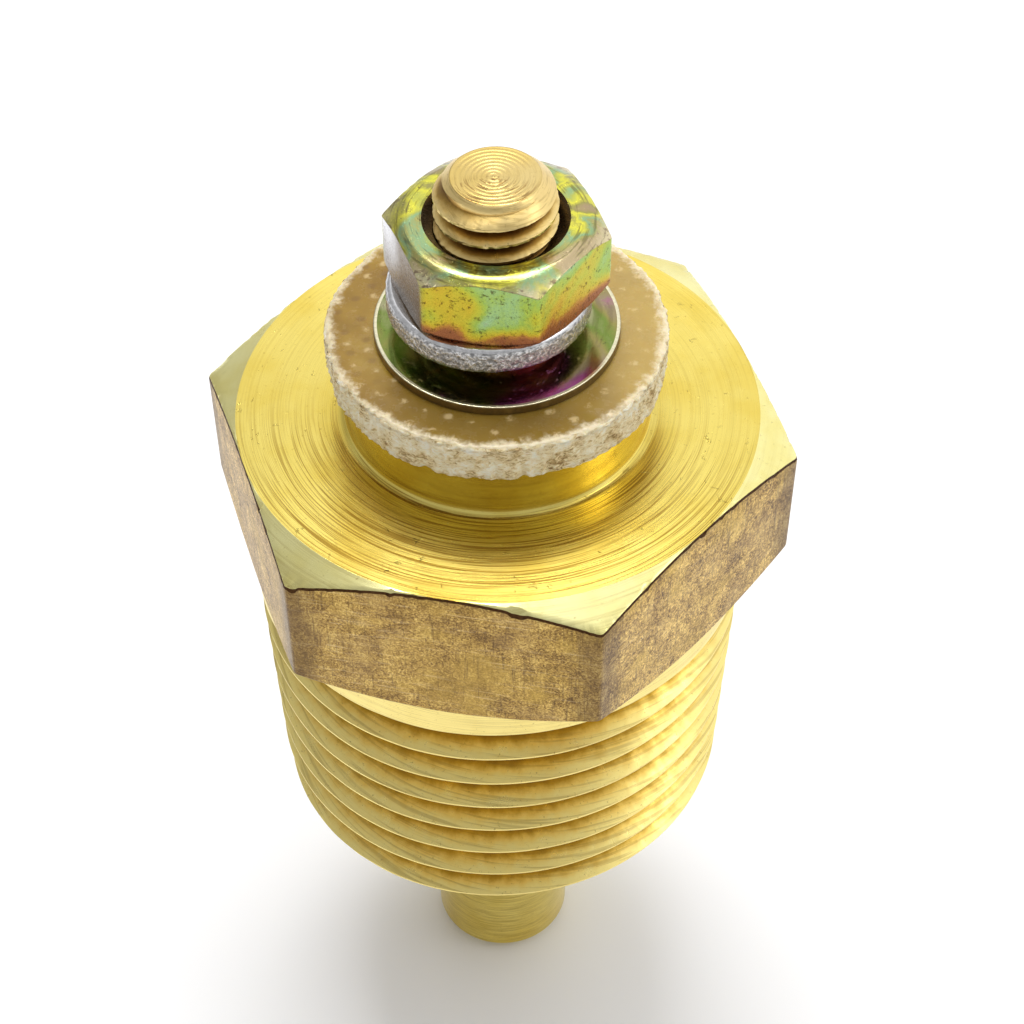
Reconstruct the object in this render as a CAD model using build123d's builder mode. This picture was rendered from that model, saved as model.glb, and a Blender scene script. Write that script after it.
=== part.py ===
"""Screw-in diaphragm pressure switch with one insulated stud terminal.

The brass body is the earth side of the circuit. Pressure enters through the nose, lifts the
diaphragm, the plate and the plunger against the calibration spring, and closes the plunger's
contact on the contact in the stud's head.

Frame: millimetres, +Z towards the terminal. The origin is on the thread's axis at the underside
of the hexagon, which is where the part stops against the port it is screwed into.
"""
import os
from math import atan, cos, degrees, pi, radians, sin, tan

from build123d import *

os.makedirs("parts", exist_ok=True)

# ---------------------------------------------------------------- driving dimensions
# Body outside
hex_af = 22.0
hex_h = 7.15
hex_top_bevel = 24.0        # degrees, cone that breaks the upper corners
hex_low_bevel = 30.0        # degrees, cone that breaks the lower corners
boss_r = 6.35
boss_h = 2.6
boss_root_fillet = 0.35

# Tapered pipe thread, 1/2 inch, 14 turns per inch, taper 1 in 16 on the diameter
pipe_pitch = 25.4 / 14
pipe_half_taper = 1 / 32
pipe_end_r = 10.36          # crest radius at the small end
pipe_depth = 1.30
pipe_root_flat = 0.22
pipe_lead = 1.17            # the thread cutter starts this far below the end
thread_over = 0.08          # how far the cutter stands out of the crests
shank_len = 15.35
pipe_runout = 1.4           # plain length left under the hexagon
shank_end_chamfer = 0.9
shank_root = 0.5            # how far the shank runs up inside the hexagon

# M5 terminal thread
m5_pitch = 0.8
m5_r = 2.45
m5_root_r = 1.96
m5_root_flat = 0.13
stud_thread_low = 10.4
stud_thread_stop = 0.15     # the cutter stops this far below the tip, inside the tip's chamfer
m5_over = 0.03              # how far the cutter stands out of the stud
m5_slack = 0.04             # axial play on each flank of the nut's thread
nut_minor_r = 2.15
nut_major_r = 2.55

# Terminal stack, upwards from the boss
fibre_r = 7.05
fibre_t = 1.85
fibre_edge = 0.12           # chamfer of the outer edges
flat_washer_r = 5.0
flat_washer_hole_r = 2.65
flat_washer_t = 0.4
flat_washer_edge = 0.12     # rounding of the outer edges
flat_shift = 0.17           # the flat washer lies off centre by most of its play on the stud
flat_shift_at = 281.4       # degrees, the direction of its shift
lock_r = 4.12
lock_w = 1.28
lock_t = 1.2
lock_rise = 0.9             # height of the high part of the split washer above the flat washer
lock_edge = 0.22            # rounding of the wire's corners
lock_level = 195.0          # degrees of the washer that lie level against the nut
lock_ramp = 145.0           # degrees over which it drops to the flat washer
lock_low_end = 160.0        # degrees, where its low end is
lock_shift = 0.345          # the split washer lies off centre by most of its play on the stud
lock_shift_at = 220.9       # degrees, the direction of its shift
nut_af = 7.9
nut_h = 3.2
nut_crown_r = 3.6           # circle at which the nut's upper bevel starts
nut_bevel = 30.0            # degrees
nut_thread_skip = 3         # turns between the start of the stud's thread and the nut's cutter
nut_thread_turns = 6
nut_cut_in = 0.05           # how far the nut's cutter starts inside the bore
nut_turn = 2.5              # degrees, where the tightened nut has stopped
nut_sink_r = 2.9
stud_out = 2.0              # stud above the nut
stud_tip_r = 1.76

# Nose and inlet
nose_r = 3.35
nose_len = 15.0
inlet_r = 2.0
inlet_depth = 2.4           # open mouth below the filter screen
jet_bore_r = 1.45
jet_bore_len = 8.95
feed_r = 0.8

# Switch mechanism
wall_web = 2.2              # brass between the chamber's roof and the boss's top
bush_r = 3.3
bush_hole_r = 2.5
roof_bore_r = 5.0
roof_bore_floor = 3.0       # z of the step between the two inner bores
main_bore_r = 7.0
rim_bore_r = 7.6
rim_bore_top = -9.75        # z of the shoulder that the clamp ring bears on
lip_t = 0.4                 # lip rolled over the plug
lip_r = 6.9
inner_washer_t = 1.0
head_r = 3.9
head_t = 1.8
head_chamfer = 0.3
contact_r = 1.5
contact_t = 0.8
contact_shank_r = 0.7
contact_shank_len = 1.0
travel = 0.9                # plunger travel from rest to contact
stem_r = 2.0
stem_chamfer = 0.2
guide_gap = 0.05
flange_r = 6.3
flange_t = 1.0
spigot_r = 1.2
spigot_len = 0.8
plate_r = 5.3
plate_t = 1.2
plate_chamfer = 0.2
spring_wire = 0.9
spring_r = 4.9
spring_turns = 5.5
seat_t = 2.05
spring_boss_r = 4.3
spring_boss_h = 0.8
shim_t = 0.4
rubber_t = 0.6
dish_h = 1.0                # the diaphragm's middle stands this far above its rim
dish_under_r = 5.2          # where the diaphragm's underside leaves its middle
dish_foot_r = 5.8           # where its underside meets the rim
dish_over_r = 5.5           # where its upper side leaves its middle
rim_gap = 0.1               # play of the diaphragm inside the rim bore and the clamp ring
clamp_t = 1.0
clamp_hole_r = 6.2
plug_r = 7.55
plug_boss_r = 4.6
dish_mouth_chamfer = 0.6
seal_wire_r = 0.54
ring_groove_r = 6.48
ring_groove_w = 1.5
screen_t = 0.8
screen_holes = 8
screen_ring_r = 0.9
screen_hole_r = 0.2
jet_len = 2.0
jet_r = 0.25
jet_slot_w = 0.6
jet_slot_t = 0.6
nose_root_fillet = 0.5
nose_tip_chamfer = 0.5
vent_ring_r = 5.6
vent_count = 4
vent_r = 0.5
bush_stand = 1.6            # bush above the boss, inside the fibre washer
inner_washer_hole_r = 3.35
contact_flat_r = 0.9
contact_dome = 0.2
fit_gap = 0.02              # locating fits between parts that don't move
cut = 0.2                   # how far a cutter runs past the face it starts from
boss_edge = 0.15
match = 0.01                # how closely an edge has to match the circle it is picked by

# ---------------------------------------------------------------- levels along the axis
shank_end = -shank_len
boss_top = hex_h + boss_h
fibre_top = boss_top + fibre_t
flat_top = fibre_top + flat_washer_t
lock_top = flat_top + lock_rise + lock_t
nut_top = lock_top + nut_h
stud_tip = nut_top + stud_out
roof = boss_top - wall_web
head_top = roof - inner_washer_t
head_low = head_top - head_t
fixed_face = head_low - contact_t
moving_face = fixed_face - travel
stem_top = moving_face - contact_t
plug_low = shank_end + lip_t
clamp_low = rim_bore_top - clamp_t
plug_top = clamp_low - rubber_t
dish_top = clamp_low + dish_h
flange_low = dish_top + plate_t
flange_top = flange_low + flange_t
seat_top = roof_bore_floor - shim_t
seat_low = seat_top - seat_t
nose_end = shank_end - nose_len
screen_low = nose_end + inlet_depth
jet_top = screen_low + jet_bore_len
ring_groove_mid = (plug_low + plug_top) / 2
ring_groove_low = ring_groove_mid - ring_groove_w / 2
ring_groove_top = ring_groove_mid + ring_groove_w / 2

thread_start = 11.4         # degrees, where each thread's helix begins

FLANK = tan(radians(30))    # a 60 degree thread widens by this much per unit of depth on each flank


def on_circle(edge, radius, level):
    """True for a circular edge about the axis with this radius at this level."""
    if edge.geom_type != GeomType.CIRCLE:
        return False
    return abs(edge.radius - radius) < match and abs(edge.arc_center.Z - level) < match


def ring(low, high, outer, inner):
    """A plain ring between two levels."""
    with BuildPart() as body:
        with BuildSketch(Plane.XY.offset(low)):
            Circle(outer)
            Circle(inner, mode=Mode.SUBTRACT)
        extrude(amount=high - low)
    return body


def turned(points):
    """A solid of revolution about Z from a closed outline of (radius, z) points."""
    with BuildPart() as body:
        with BuildSketch(Plane.XZ):
            with BuildLine():
                Polyline(*points, close=True)
            make_face()
        revolve(axis=Axis.Z)
    return body


def bevel_blank(af, height, low, low_cone, high_cone):
    """The cone-ended blank that a hexagon is cut from, so that its corners end bevelled.

    Each cone is the radius at which it starts and its angle in degrees.
    """
    corner_r = af / 2 / cos(pi / 6) + cut
    low_r, low_angle = low_cone
    high_r, high_angle = high_cone
    low_drop = (corner_r - low_r) * tan(radians(low_angle))
    high_drop = (corner_r - high_r) * tan(radians(high_angle))
    return turned([
        (0, low),
        (low_r, low),
        (corner_r, low + low_drop),
        (corner_r, low + height - high_drop),
        (high_r, low + height),
        (0, low + height),
    ])


def section_plane(radius, level, angle=0.0):
    """The plane through the axis at this angle, centred at a radius and a level."""
    out = (cos(radians(angle)), sin(radians(angle)), 0)
    back = (sin(radians(angle)), -cos(radians(angle)), 0)
    return Plane(origin=(radius * out[0], radius * out[1], level), x_dir=out, z_dir=back)


def thread_cutter(pitch, low, high, radii, half_widths, taper=0.0):
    """A groove along a right-hand helix, to be taken out of a shaft or out of a bore's wall.

    It begins on the X axis at the low level. radii and half_widths are those of the groove's
    inner and outer sides, and taper is the change in radius per unit of height.
    """
    inner_r, outer_r = radii
    inner_half, outer_half = half_widths
    mid_r = (inner_r + outer_r) / 2
    with BuildPart() as groove:
        with BuildLine():
            Helix(pitch, high - low, mid_r, center=(0, 0, low), cone_angle=degrees(atan(taper)))
        with BuildSketch(section_plane(mid_r, low)):
            with BuildLine():
                Polyline(
                    (inner_r - mid_r, -inner_half),
                    (outer_r - mid_r, -outer_half),
                    (outer_r - mid_r, outer_half),
                    (inner_r - mid_r, inner_half),
                    close=True,
                )
            make_face()
        sweep(is_frenet=True)
    return groove


# ---------------------------------------------------------------- body
pipe_top_r = pipe_end_r + shank_len * pipe_half_taper
pipe_start = shank_end - pipe_lead
pipe_start_r = pipe_end_r - (shank_end - pipe_start) * pipe_half_taper
pipe_reach = pipe_depth + thread_over
pipe_groove = thread_cutter(
    pipe_pitch, pipe_start, -pipe_runout,
    (pipe_start_r - pipe_depth, pipe_start_r + thread_over),
    (pipe_root_flat / 2, pipe_root_flat / 2 + pipe_reach * FLANK),
    taper=pipe_half_taper,
)

hex_cones = (hex_af / 2, hex_low_bevel), (hex_af / 2, hex_top_bevel)
body_blank = bevel_blank(hex_af, hex_h, 0, *hex_cones)
shank = turned([
    (0, shank_root),
    (pipe_top_r, shank_root),
    (pipe_top_r, 0),
    (pipe_end_r + shank_end_chamfer * pipe_half_taper, shank_end + shank_end_chamfer),
    (pipe_end_r - shank_end_chamfer, shank_end),
    (0, shank_end),
])
chamber = turned([
    (0, roof),
    (0, shank_end - cut),
    (lip_r, shank_end - cut),
    (lip_r, plug_low),
    (rim_bore_r, plug_low),
    (rim_bore_r, rim_bore_top),
    (main_bore_r, rim_bore_top),
    (main_bore_r, roof_bore_floor),
    (roof_bore_r, roof_bore_floor),
    (roof_bore_r, roof),
])
with BuildPart() as hex_body:
    with BuildSketch():
        RegularPolygon(radius=hex_af / 2, side_count=6, major_radius=False)
    extrude(amount=hex_h)
    add(body_blank.part, mode=Mode.INTERSECT)
    with BuildSketch(Plane.XY.offset(hex_h)):
        Circle(boss_r)
    extrude(amount=boss_h)
    boss_root = hex_body.edges().filter_by(lambda e: on_circle(e, boss_r, hex_h))
    fillet(boss_root, boss_root_fillet)
    boss_rim = hex_body.edges().filter_by(lambda e: on_circle(e, boss_r, boss_top))
    chamfer(boss_rim, boss_edge)
    add(shank.part)
    add(pipe_groove.part, rotation=(0, 0, thread_start), mode=Mode.SUBTRACT)
    add(chamber.part, mode=Mode.SUBTRACT)
    with BuildSketch(Plane.XY.offset(roof - cut)):
        Circle(bush_r + fit_gap)
    extrude(amount=wall_web + 2 * cut, mode=Mode.SUBTRACT)
hex_body.part.label = "hex_body"
export_step(hex_body.part, "parts/hex_body.step")

# ---------------------------------------------------------------- nose and inlet
with BuildPart() as inlet_plug:
    with BuildSketch(Plane.XZ):
        with BuildLine():
            Polyline(
                (feed_r, plug_top + dish_h),
                (plug_boss_r, plug_top + dish_h),
                (plug_boss_r, plug_top),
                (plug_r, plug_top),
                (plug_r, ring_groove_top),
                (ring_groove_r, ring_groove_top),
                (ring_groove_r, ring_groove_low),
                (plug_r, ring_groove_low),
                (plug_r, plug_low),
                (lip_r - fit_gap, plug_low),
                (lip_r - fit_gap, shank_end),
                (nose_r, shank_end),
                (nose_r, nose_end),
                (inlet_r, nose_end),
                (inlet_r, screen_low),
                (jet_bore_r, screen_low),
                (jet_bore_r, jet_top),
                (feed_r, jet_top),
                close=True,
            )
        make_face()
    revolve(axis=Axis.Z)
    nose_root = inlet_plug.edges().filter_by(lambda e: on_circle(e, nose_r, shank_end))
    fillet(nose_root, nose_root_fillet)
    nose_tip = inlet_plug.edges().filter_by(lambda e: on_circle(e, nose_r, nose_end))
    chamfer(nose_tip, nose_tip_chamfer)
    dish_mouth = inlet_plug.edges().filter_by(lambda e: on_circle(e, feed_r, plug_top + dish_h))
    chamfer(dish_mouth, dish_mouth_chamfer)
inlet_plug.part.label = "inlet_plug"
export_step(inlet_plug.part, "parts/inlet_plug.step")

with BuildPart() as inlet_restrictor:
    with BuildSketch(Plane.XY.offset(jet_top - jet_len)):
        Circle(jet_bore_r)
        Circle(jet_r, mode=Mode.SUBTRACT)
    extrude(amount=jet_len)
    with BuildSketch(Plane.XY.offset(jet_top - jet_len)):
        Rectangle(2 * jet_bore_r, jet_slot_w)
    extrude(amount=jet_slot_t, mode=Mode.SUBTRACT)
inlet_restrictor.part.label = "inlet_restrictor"
export_step(inlet_restrictor.part, "parts/inlet_restrictor.step")

with BuildPart() as inlet_filter_screen:
    with BuildSketch(Plane.XY.offset(screen_low)):
        Circle(jet_bore_r)
        with PolarLocations(screen_ring_r, screen_holes):
            Circle(screen_hole_r, mode=Mode.SUBTRACT)
        Circle(screen_hole_r, mode=Mode.SUBTRACT)
    extrude(amount=screen_t)
inlet_filter_screen.part.label = "inlet_filter_screen"
export_step(inlet_filter_screen.part, "parts/inlet_filter_screen.step")

with BuildPart() as plug_seal_ring:
    with BuildSketch(Plane.XZ):
        with Locations((ring_groove_r + seal_wire_r + fit_gap, ring_groove_mid)):
            Circle(seal_wire_r)
    revolve(axis=Axis.Z)
plug_seal_ring.part.label = "plug_seal_ring"
export_step(plug_seal_ring.part, "parts/plug_seal_ring.step")

# ---------------------------------------------------------------- diaphragm and its clamp
with BuildPart() as diaphragm:
    with BuildSketch(Plane.XZ):
        with BuildLine():
            Polyline(
                (0, dish_top - rubber_t),
                (dish_under_r, dish_top - rubber_t),
                (dish_foot_r, plug_top),
                (rim_bore_r - rim_gap, plug_top),
                (rim_bore_r - rim_gap, clamp_low),
                (clamp_hole_r - rim_gap, clamp_low),
                (dish_over_r, dish_top),
                (0, dish_top),
                close=True,
            )
        make_face()
    revolve(axis=Axis.Z)
diaphragm.part.label = "diaphragm"
export_step(diaphragm.part, "parts/diaphragm.step")

clamp_ring = ring(clamp_low, rim_bore_top, plug_r, clamp_hole_r)
clamp_ring.part.label = "diaphragm_clamp_ring"
export_step(clamp_ring.part, "parts/diaphragm_clamp_ring.step")

# ---------------------------------------------------------------- plunger group
with BuildPart() as piston_plate:
    with BuildSketch(Plane.XY.offset(dish_top)):
        Circle(plate_r)
    extrude(amount=plate_t)
    chamfer(piston_plate.edges().group_by(Axis.Z)[0], plate_chamfer)
    with BuildSketch(Plane.XY.offset(flange_low - spigot_len)):
        Circle(spigot_r)
    extrude(amount=spigot_len, mode=Mode.SUBTRACT)
piston_plate.part.label = "piston_plate"
export_step(piston_plate.part, "parts/piston_plate.step")

with BuildPart() as plunger:
    with BuildSketch(Plane.XZ):
        with BuildLine():
            Polyline(
                (0, flange_low - spigot_len),
                (spigot_r, flange_low - spigot_len),
                (spigot_r, flange_low),
                (flange_r, flange_low),
                (flange_r, flange_top),
                (spring_boss_r, flange_top),
                (spring_boss_r, flange_top + spring_boss_h),
                (stem_r, flange_top + spring_boss_h),
                (stem_r, stem_top),
                (contact_shank_r, stem_top),
                (contact_shank_r, stem_top - contact_shank_len),
                (0, stem_top - contact_shank_len),
                close=True,
            )
        make_face()
    revolve(axis=Axis.Z)
    stem_rim = plunger.edges().filter_by(lambda e: on_circle(e, stem_r, stem_top))
    chamfer(stem_rim, stem_chamfer)
plunger.part.label = "plunger"
export_step(plunger.part, "parts/plunger.step")


def contact(face, back, shank):
    """A domed contact rivet: its face, the back of its head and the end of its shank as levels."""
    up = 1 if face > back else -1
    edge = face - up * contact_dome
    with BuildPart() as rivet:
        with BuildSketch(Plane.XZ):
            with BuildLine():
                Line((0, face), (contact_flat_r, face))
                Line((contact_flat_r, face), (contact_r, edge))
                Polyline((contact_r, edge), (contact_r, back), (contact_shank_r, back),
                         (contact_shank_r, shank), (0, shank), (0, face))
            make_face()
        revolve(axis=Axis.Z)
    return rivet


moving_contact = contact(moving_face, stem_top, stem_top - contact_shank_len)
moving_contact.part.label = "moving_contact"
export_step(moving_contact.part, "parts/moving_contact.step")

fixed_contact = contact(fixed_face, head_low, head_low + contact_shank_len)
fixed_contact.part.label = "fixed_contact"
export_step(fixed_contact.part, "parts/fixed_contact.step")

# ---------------------------------------------------------------- calibration spring and its seat
spring_low = flange_top
spring_top = seat_low
spring_start = spring_low + spring_wire / 2
spring_pitch = (spring_top - spring_low - spring_wire) / spring_turns
with BuildPart() as calibration_spring:
    with BuildLine():
        Helix(spring_pitch, spring_turns * spring_pitch, spring_r, center=(0, 0, spring_start))
    with BuildSketch(section_plane(spring_r, spring_start)):
        Circle(spring_wire / 2)
    sweep(is_frenet=True)
calibration_spring.part.label = "calibration_spring"
export_step(calibration_spring.part, "parts/calibration_spring.step")

with BuildPart() as spring_seat:
    with BuildSketch(Plane.XY.offset(seat_low)):
        Circle(main_bore_r - fit_gap)
    extrude(amount=seat_t)
    with BuildSketch(Plane.XY.offset(seat_low - spring_boss_h)):
        Circle(spring_boss_r)
    extrude(amount=spring_boss_h)
    with BuildSketch(Plane.XY.offset(seat_low - spring_boss_h)):
        Circle(stem_r + guide_gap)
    extrude(amount=seat_t + spring_boss_h, mode=Mode.SUBTRACT)
    with BuildSketch(Plane.XY.offset(seat_low)):
        with PolarLocations(vent_ring_r, vent_count):
            Circle(vent_r)
    extrude(amount=seat_t, mode=Mode.SUBTRACT)
spring_seat.part.label = "spring_seat"
export_step(spring_seat.part, "parts/spring_seat.step")

shim = ring(seat_top, roof_bore_floor, main_bore_r - fit_gap, roof_bore_r)
shim.part.label = "calibration_shim"
export_step(shim.part, "parts/calibration_shim.step")

# ---------------------------------------------------------------- terminal insulation
bush = ring(roof, boss_top + bush_stand, bush_r, bush_hole_r)
bush.part.label = "insulating_bush"
export_step(bush.part, "parts/insulating_bush.step")

inner_washer = ring(head_top, roof, roof_bore_r - fit_gap, inner_washer_hole_r)
inner_washer.part.label = "inner_insulating_washer"
export_step(inner_washer.part, "parts/inner_insulating_washer.step")

with BuildPart() as stud_seal_ring:
    with BuildSketch(Plane.XZ):
        with Locations(((m5_r + inner_washer_hole_r) / 2, (head_top + roof) / 2)):
            Circle((inner_washer_hole_r - m5_r) / 2 - fit_gap)
    revolve(axis=Axis.Z)
stud_seal_ring.part.label = "stud_seal_ring"
export_step(stud_seal_ring.part, "parts/stud_seal_ring.step")

with BuildPart() as fibre_washer:
    with BuildSketch(Plane.XY.offset(boss_top)):
        Circle(fibre_r)
        Circle(bush_r + fit_gap, mode=Mode.SUBTRACT)
    extrude(amount=fibre_t)
    fibre_rim = fibre_washer.edges().filter_by(
        lambda e: on_circle(e, fibre_r, boss_top) or on_circle(e, fibre_r, fibre_top))
    chamfer(fibre_rim, fibre_edge)
fibre_washer.part.label = "fibre_washer"
export_step(fibre_washer.part, "parts/fibre_washer.step")

# ---------------------------------------------------------------- terminal stud
def stud_groove_half(radius):
    """Half the width of the stud's thread groove at a radius."""
    return m5_root_flat / 2 + (radius - m5_root_r) * FLANK


stud_groove = thread_cutter(
    m5_pitch, stud_thread_low, stud_tip - stud_thread_stop,
    (m5_root_r, m5_r + m5_over),
    (stud_groove_half(m5_root_r), stud_groove_half(m5_r + m5_over)),
)
with BuildPart() as terminal_stud:
    with BuildSketch(Plane.XZ):
        with BuildLine():
            Polyline(
                (0, head_low + contact_shank_len),
                (contact_shank_r, head_low + contact_shank_len),
                (contact_shank_r, head_low),
                (head_r, head_low),
                (head_r, head_top),
                (m5_r, head_top),
                (m5_r, stud_tip - (m5_r - stud_tip_r)),
                (stud_tip_r, stud_tip),
                (0, stud_tip),
                close=True,
            )
        make_face()
    revolve(axis=Axis.Z)
    head_low_rim = terminal_stud.edges().filter_by(lambda e: on_circle(e, head_r, head_low))
    chamfer(head_low_rim, head_chamfer)
    add(stud_groove.part, rotation=(0, 0, thread_start), mode=Mode.SUBTRACT)
terminal_stud.part.label = "terminal_stud"
export_step(terminal_stud.part, "parts/terminal_stud.step")

# ---------------------------------------------------------------- washers and nut
with BuildPart() as flat_washer:
    with BuildSketch(Plane.XY.offset(fibre_top)):
        with PolarLocations(flat_shift, 1, start_angle=flat_shift_at):
            Circle(flat_washer_r)
            Circle(flat_washer_hole_r, mode=Mode.SUBTRACT)
    extrude(amount=flat_washer_t)
    flat_rim = flat_washer.edges().filter_by(
        lambda e: on_circle(e, flat_washer_r, fibre_top) or on_circle(e, flat_washer_r, flat_top))
    fillet(flat_rim, flat_washer_edge)
flat_washer.part.label = "flat_washer"
export_step(flat_washer.part, "parts/flat_washer.step")

# The split washer runs level under the nut for lock_level degrees, then drops to the flat washer.
# Its low end is made on the X axis, then turned to where it lies.
lock_mid_r = lock_r - lock_w / 2
with BuildPart() as split_ring:
    with BuildLine():
        Helix(lock_rise * 360 / lock_ramp, lock_rise, lock_mid_r,
              center=(0, 0, flat_top + lock_t / 2), lefthand=True)
    with BuildSketch(section_plane(lock_mid_r, flat_top + lock_t / 2)):
        RectangleRounded(lock_w, lock_t, lock_edge)
    sweep(is_frenet=True)
    with BuildSketch(section_plane(lock_mid_r, lock_top - lock_t / 2, -lock_ramp)):
        RectangleRounded(lock_w, lock_t, lock_edge)
    revolve(axis=Axis((0, 0, 0), (0, 0, -1)), revolution_arc=lock_level)
with BuildPart() as spring_lock_washer:
    with PolarLocations(lock_shift, 1, start_angle=lock_shift_at, rotate=False):
        add(split_ring.part, rotation=(0, 0, lock_low_end))
spring_lock_washer.part.label = "spring_lock_washer"
export_step(spring_lock_washer.part, "parts/spring_lock_washer.step")

nut_blank = bevel_blank(nut_af, nut_h, lock_top, (nut_af / 2, nut_bevel), (nut_crown_r, nut_bevel))


def nut_groove_half(radius):
    """Half the width of the nut's thread groove: the stud's ridge and the slack on each flank."""
    return m5_pitch / 2 - stud_groove_half(radius) + m5_slack


nut_cut_r = nut_minor_r - nut_cut_in
nut_groove_low = stud_thread_low + (nut_thread_skip + 0.5) * m5_pitch
nut_groove = thread_cutter(
    m5_pitch, nut_groove_low, nut_groove_low + nut_thread_turns * m5_pitch,
    (nut_cut_r, nut_major_r),
    (nut_groove_half(nut_cut_r), nut_groove_half(nut_major_r)),
)
with BuildPart() as terminal_nut:
    with BuildSketch(Plane.XY.offset(lock_top)):
        RegularPolygon(radius=nut_af / 2, side_count=6, major_radius=False, rotation=nut_turn)
    extrude(amount=nut_h)
    add(nut_blank.part, mode=Mode.INTERSECT)
    with BuildSketch(Plane.XY.offset(lock_top)):
        Circle(nut_minor_r)
    extrude(amount=nut_h, mode=Mode.SUBTRACT)
    nut_mouth = terminal_nut.edges().filter_by(lambda e: on_circle(e, nut_minor_r, nut_top))
    chamfer(nut_mouth, nut_sink_r - nut_minor_r)
    nut_foot = terminal_nut.edges().filter_by(lambda e: on_circle(e, nut_minor_r, lock_top))
    chamfer(nut_foot, nut_major_r - nut_minor_r)
    add(nut_groove.part, rotation=(0, 0, thread_start), mode=Mode.SUBTRACT)
terminal_nut.part.label = "terminal_nut"
export_step(terminal_nut.part, "parts/terminal_nut.step")
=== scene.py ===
import math

import bpy
import bmesh
import numpy as np
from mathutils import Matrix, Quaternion, Vector


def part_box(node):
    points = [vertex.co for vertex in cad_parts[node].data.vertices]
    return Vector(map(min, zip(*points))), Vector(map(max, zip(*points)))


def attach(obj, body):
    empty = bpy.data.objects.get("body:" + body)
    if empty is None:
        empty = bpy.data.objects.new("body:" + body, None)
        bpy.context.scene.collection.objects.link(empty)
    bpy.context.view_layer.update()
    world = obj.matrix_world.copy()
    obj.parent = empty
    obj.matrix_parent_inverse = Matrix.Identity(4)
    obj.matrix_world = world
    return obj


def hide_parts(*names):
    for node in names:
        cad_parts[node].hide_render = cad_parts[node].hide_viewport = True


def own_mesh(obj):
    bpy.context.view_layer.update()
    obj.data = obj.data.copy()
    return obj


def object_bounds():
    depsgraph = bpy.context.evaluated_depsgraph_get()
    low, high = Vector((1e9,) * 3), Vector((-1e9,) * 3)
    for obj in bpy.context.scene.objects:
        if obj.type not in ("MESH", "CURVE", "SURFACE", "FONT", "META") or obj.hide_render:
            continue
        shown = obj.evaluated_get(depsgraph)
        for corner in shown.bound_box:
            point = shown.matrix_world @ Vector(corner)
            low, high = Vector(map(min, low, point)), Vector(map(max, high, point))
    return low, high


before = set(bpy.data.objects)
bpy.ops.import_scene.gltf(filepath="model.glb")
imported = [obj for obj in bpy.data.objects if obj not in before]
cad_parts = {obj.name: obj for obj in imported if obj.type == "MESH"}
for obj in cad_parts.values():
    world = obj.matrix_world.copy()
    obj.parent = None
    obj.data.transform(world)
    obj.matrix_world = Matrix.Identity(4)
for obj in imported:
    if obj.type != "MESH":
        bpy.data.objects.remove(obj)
cad_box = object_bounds()

# -------- sizes, in millimetres
# Levels and radii come from the frame's boxes; the rest repeats the driving dimensions.
MM = 0.001
TURN = 2 * math.pi


def span(node):
    """(lowest z, highest z, largest radius along X) of a CAD node, in millimetres."""
    low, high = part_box(node)
    return low.z / MM, high.z / MM, (high.x - low.x) / 2 / MM


shank_end, boss_top, corner_r = span("hex_body")
nose_end, plug_top, plug_r = span("inlet_plug")
fibre_low, fibre_top, fibre_r = span("fibre_washer")
flat_low, flat_top, flat_r = span("flat_washer")
_, lock_top, lock_r = span("spring_lock_washer")
nut_low, nut_top, _ = span("terminal_nut")
head_low, stud_tip, head_r = span("terminal_stud")

hex_flat_r = corner_r * math.cos(math.pi / 6)
hex_h = 7.15
hex_top_bevel = math.radians(24)
hex_low_bevel = math.radians(30)
boss_r = 6.35
thread_start = math.radians(11.4)
pipe_pitch = 25.4 / 14
pipe_taper = 1 / 32
pipe_end_r = 10.36
pipe_depth = 1.30
pipe_root_half = 0.11
pipe_first = shank_end - 1.17
pipe_runout = 1.4
m5_pitch = 0.8
m5_r = 2.45
m5_root_r = 1.96
m5_root_half = 0.065
m5_first = 10.4
nut_minor_r = 2.15
nut_major_r = 2.55
nut_flat_r = 3.95
nut_turn = math.radians(2.5)
nut_bevel = math.radians(30)
nut_sink_r = 2.9
nut_crown_r = 3.6
stud_tip_r = 1.76
tip_feed = 0.205
bush_hole_r = 3.32
head_t = 1.8
head_bevel = 0.3
contact_shank_r = 0.7
contact_shank_len = 1.0
roof = boss_top - 2.2
nose_r = 3.35
nose_bevel = 0.5
inlet_r = 2.0
inlet_depth = 2.4
jet_r = 1.45
jet_len = 8.95
feed_r = 0.8
lip_r = 6.9
lip_t = 0.4
rim_bore_r = 7.6
rim_bore_top = -9.75
main_bore_r = 7.0
roof_bore_r = 5.0
roof_bore_floor = 3.0
ring_groove_r = 6.48
ring_groove_half = 0.75
plug_neck_r = 4.6
plug_neck_len = 1.0
flat_hole_r = 2.65
lock_w = 1.28
lock_t = 1.2
lock_rise = 0.9
lock_ramp = math.radians(145)
lock_level = math.radians(195)
lock_low_end = math.radians(160)
lock_shift = 0.345
lock_shift_at = math.radians(220.9)
flat_shift = 0.17
flat_shift_at = math.radians(281.4)
spring_wire = 0.9
spring_turns = 5.5
FLANK = math.tan(math.pi / 6)


# -------- shape kit
def waves(x, y, z, size, seed, count=10):
    """A smooth random field between about -1 and 1 whose bumps are about size millimetres wide."""
    rng = np.random.default_rng(seed)
    total = 0.0
    for _ in range(count):
        way = rng.normal(size=3)
        way *= rng.uniform(0.6, 1.6) / np.linalg.norm(way) * TURN / (2 * size)
        total = total + np.sin(way[0] * x + way[1] * y + way[2] * z + rng.uniform(0, TURN))
    return total / math.sqrt(count)


def around(count, crowd=0.0):
    """Angles once round, both ends included, crowded towards the hexagon's corners by crowd."""
    even = np.linspace(0, TURN, count + 1)
    return even - crowd * np.sin(6 * even) / 6


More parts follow.
